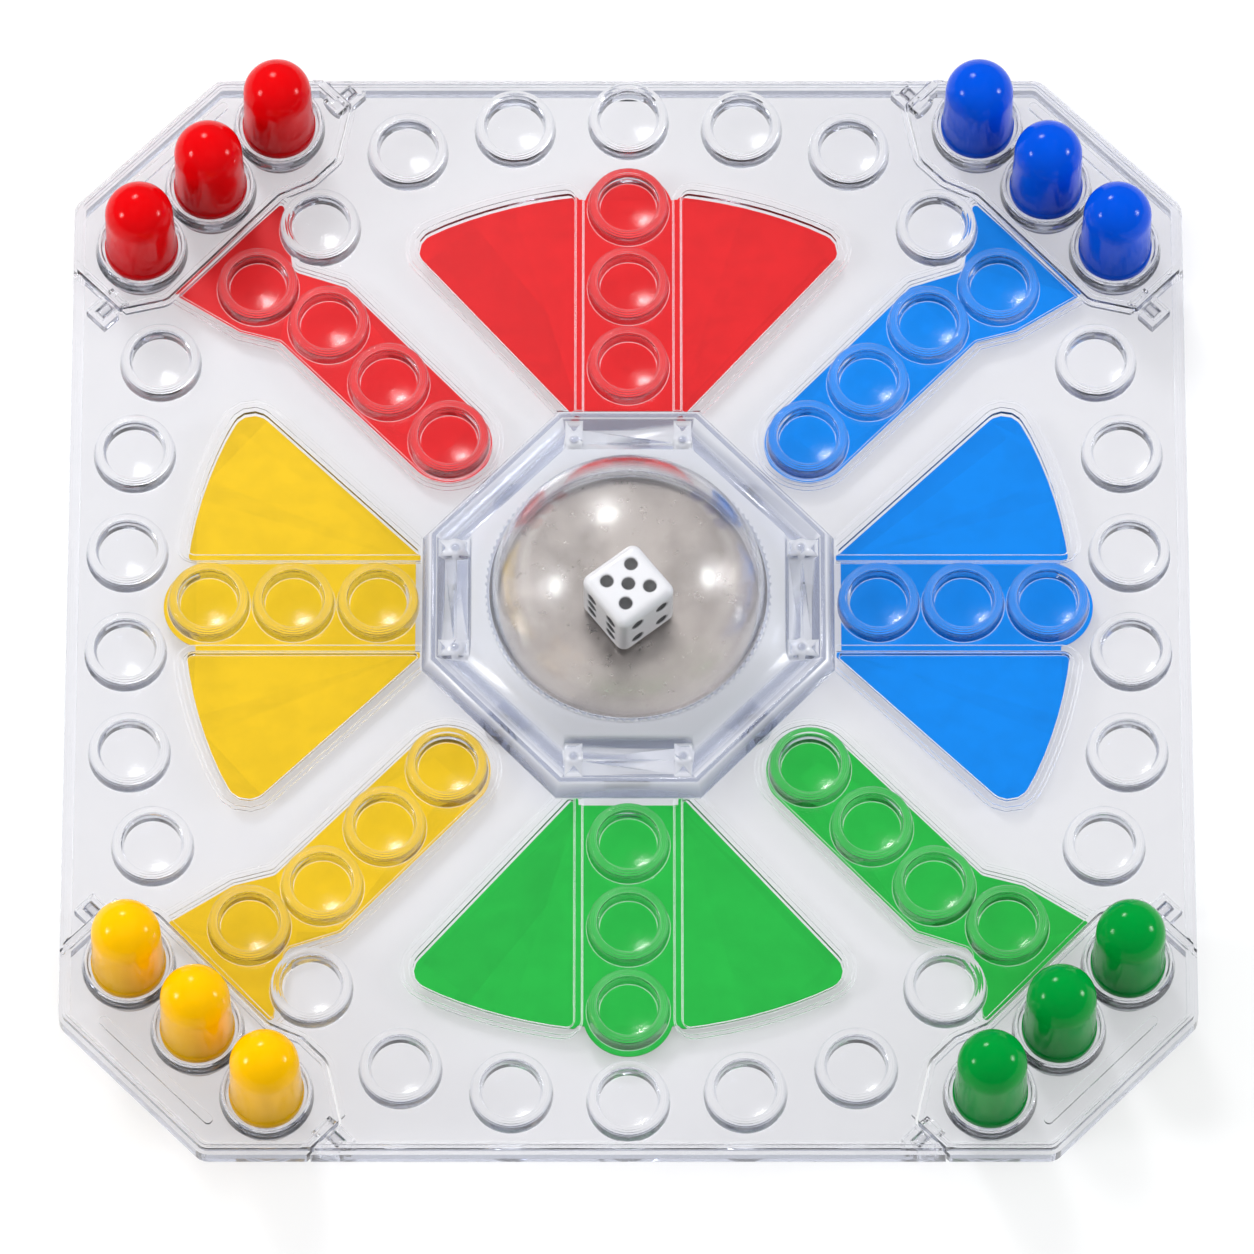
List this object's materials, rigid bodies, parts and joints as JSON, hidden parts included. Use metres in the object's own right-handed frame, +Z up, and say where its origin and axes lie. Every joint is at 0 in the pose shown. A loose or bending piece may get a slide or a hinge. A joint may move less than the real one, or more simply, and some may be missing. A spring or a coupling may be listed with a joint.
{
  "type": "pop up dice board game",
  "caption": "Clear octagonal board with coloured film lanes, pegs in folding corners and a press dome that pops a die.",
  "frame": {"origin": "middle of the board's footprint, on the plane that the rim stands on", "axes": "+Z up, +X to the player's right, +Y away from the player"},
  "size_m": [0.26, 0.272, 0.045],
  "materials": {
    "clear_board": "clear moulded polystyrene, polished",
    "tinted_bezel": "clear plastic with a faint blue grey tint, polished",
    "clear_dome": "clear thin moulded dome, polished",
    "popper_cup": "pale blue grey moulded plastic",
    "disc_steel": "rolled and polished steel",
    "spring_steel": "bright spring steel",
    "screw_steel": "zinc plated steel",
    "die_white": "white plastic, polished",
    "pip_black": "black paint in the pips",
    "film_red": "thin printed red film",
    "peg_red": "red moulded plastic, glossy",
    "film_blue": "thin printed blue film",
    "peg_blue": "blue moulded plastic, glossy",
    "film_yellow": "thin printed yellow film",
    "peg_yellow": "yellow moulded plastic, glossy",
    "film_green": "thin printed green film",
    "peg_green": "green moulded plastic, glossy"
  },
  "bodies": {
    "board": {"game_board": "clear_board", "wedge_film_red": "film_red", "wedge_film_blue": "film_blue", "wedge_film_yellow": "film_yellow", "wedge_film_green": "film_green", "lane_film_red": "film_red", "lane_film_blue": "film_blue", "lane_film_yellow": "film_yellow", "lane_film_green": "film_green", "popper_bezel": "tinted_bezel", "leaf_spring": "spring_steel", "popper_cup": "popper_cup", "cup_screws": "screw_steel"},
    "press_dome": {"dome": "clear_dome", "striker_disc": "disc_steel"},
    "die": {"die": "die_white", "die_pips": "pip_black"},
    "flap_red": {"corner_flap_red": "clear_board"},
    "flap_blue": {"corner_flap_blue": "clear_board"},
    "flap_yellow": {"corner_flap_yellow": "clear_board"},
    "flap_green": {"corner_flap_green": "clear_board"},
    "peg_red_1": {"peg_red_1": "peg_red"},
    "peg_red_2": {"peg_red_2": "peg_red"},
    "peg_red_3": {"peg_red_3": "peg_red"},
    "peg_blue_1": {"peg_blue_1": "peg_blue"},
    "peg_blue_2": {"peg_blue_2": "peg_blue"},
    "peg_blue_3": {"peg_blue_3": "peg_blue"},
    "peg_yellow_1": {"peg_yellow_1": "peg_yellow"},
    "peg_yellow_2": {"peg_yellow_2": "peg_yellow"},
    "peg_yellow_3": {"peg_yellow_3": "peg_yellow"},
    "peg_green_1": {"peg_green_1": "peg_green"},
    "peg_green_2": {"peg_green_2": "peg_green"},
    "peg_green_3": {"peg_green_3": "peg_green"}
  },
  "joints": [
    {"name": "flap_red_hinge", "type": "hinge", "parent": "board", "child": "flap_red", "pos_m": [-0.09436, 0.10418, 0.0035], "axis": [-0.7071, -0.7071, 0], "range_deg": [0, 90]},
    {"name": "flap_blue_hinge", "type": "hinge", "parent": "board", "child": "flap_blue", "pos_m": [0.09436, 0.10418, 0.0035], "axis": [-0.7071, 0.7071, 0], "range_deg": [0, 90]},
    {"name": "flap_yellow_hinge", "type": "hinge", "parent": "board", "child": "flap_yellow", "pos_m": [-0.09436, -0.10418, 0.0035], "axis": [0.7071, -0.7071, 0], "range_deg": [0, 90]},
    {"name": "flap_green_hinge", "type": "hinge", "parent": "board", "child": "flap_green", "pos_m": [0.09436, -0.10418, 0.0035], "axis": [0.7071, 0.7071, 0], "range_deg": [0, 90]},
    {"name": "peg_red_1_lift", "type": "slide", "parent": "flap_red", "child": "peg_red_1", "axis": [0, 0, 1], "range_m": [0, 0.012]},
    {"name": "peg_red_2_lift", "type": "slide", "parent": "flap_red", "child": "peg_red_2", "axis": [0, 0, 1], "range_m": [0, 0.012]},
    {"name": "peg_red_3_lift", "type": "slide", "parent": "flap_red", "child": "peg_red_3", "axis": [0, 0, 1], "range_m": [0, 0.012]},
    {"name": "peg_blue_1_lift", "type": "slide", "parent": "flap_blue", "child": "peg_blue_1", "axis": [0, 0, 1], "range_m": [0, 0.012]},
    {"name": "peg_blue_2_lift", "type": "slide", "parent": "flap_blue", "child": "peg_blue_2", "axis": [0, 0, 1], "range_m": [0, 0.012]},
    {"name": "peg_blue_3_lift", "type": "slide", "parent": "flap_blue", "child": "peg_blue_3", "axis": [0, 0, 1], "range_m": [0, 0.012]},
    {"name": "peg_yellow_1_lift", "type": "slide", "parent": "flap_yellow", "child": "peg_yellow_1", "axis": [0, 0, 1], "range_m": [0, 0.012]},
    {"name": "peg_yellow_2_lift", "type": "slide", "parent": "flap_yellow", "child": "peg_yellow_2", "axis": [0, 0, 1], "range_m": [0, 0.012]},
    {"name": "peg_yellow_3_lift", "type": "slide", "parent": "flap_yellow", "child": "peg_yellow_3", "axis": [0, 0, 1], "range_m": [0, 0.012]},
    {"name": "peg_green_1_lift", "type": "slide", "parent": "flap_green", "child": "peg_green_1", "axis": [0, 0, 1], "range_m": [0, 0.012]},
    {"name": "peg_green_2_lift", "type": "slide", "parent": "flap_green", "child": "peg_green_2", "axis": [0, 0, 1], "range_m": [0, 0.012]},
    {"name": "peg_green_3_lift", "type": "slide", "parent": "flap_green", "child": "peg_green_3", "axis": [0, 0, 1], "range_m": [0, 0.012]},
    {"name": "dome_press", "type": "slide", "parent": "board", "child": "press_dome", "axis": [0, 0, -1], "range_m": [0, 0.0034], "stiffness_N_per_m": 600, "springref_m": -0.01, "deforming": ["leaf_spring"]},
    {"name": "die_pop", "type": "slide", "parent": "press_dome", "child": "die", "axis": [0, 0, 1], "range_m": [0, 0.01]}
  ]
}
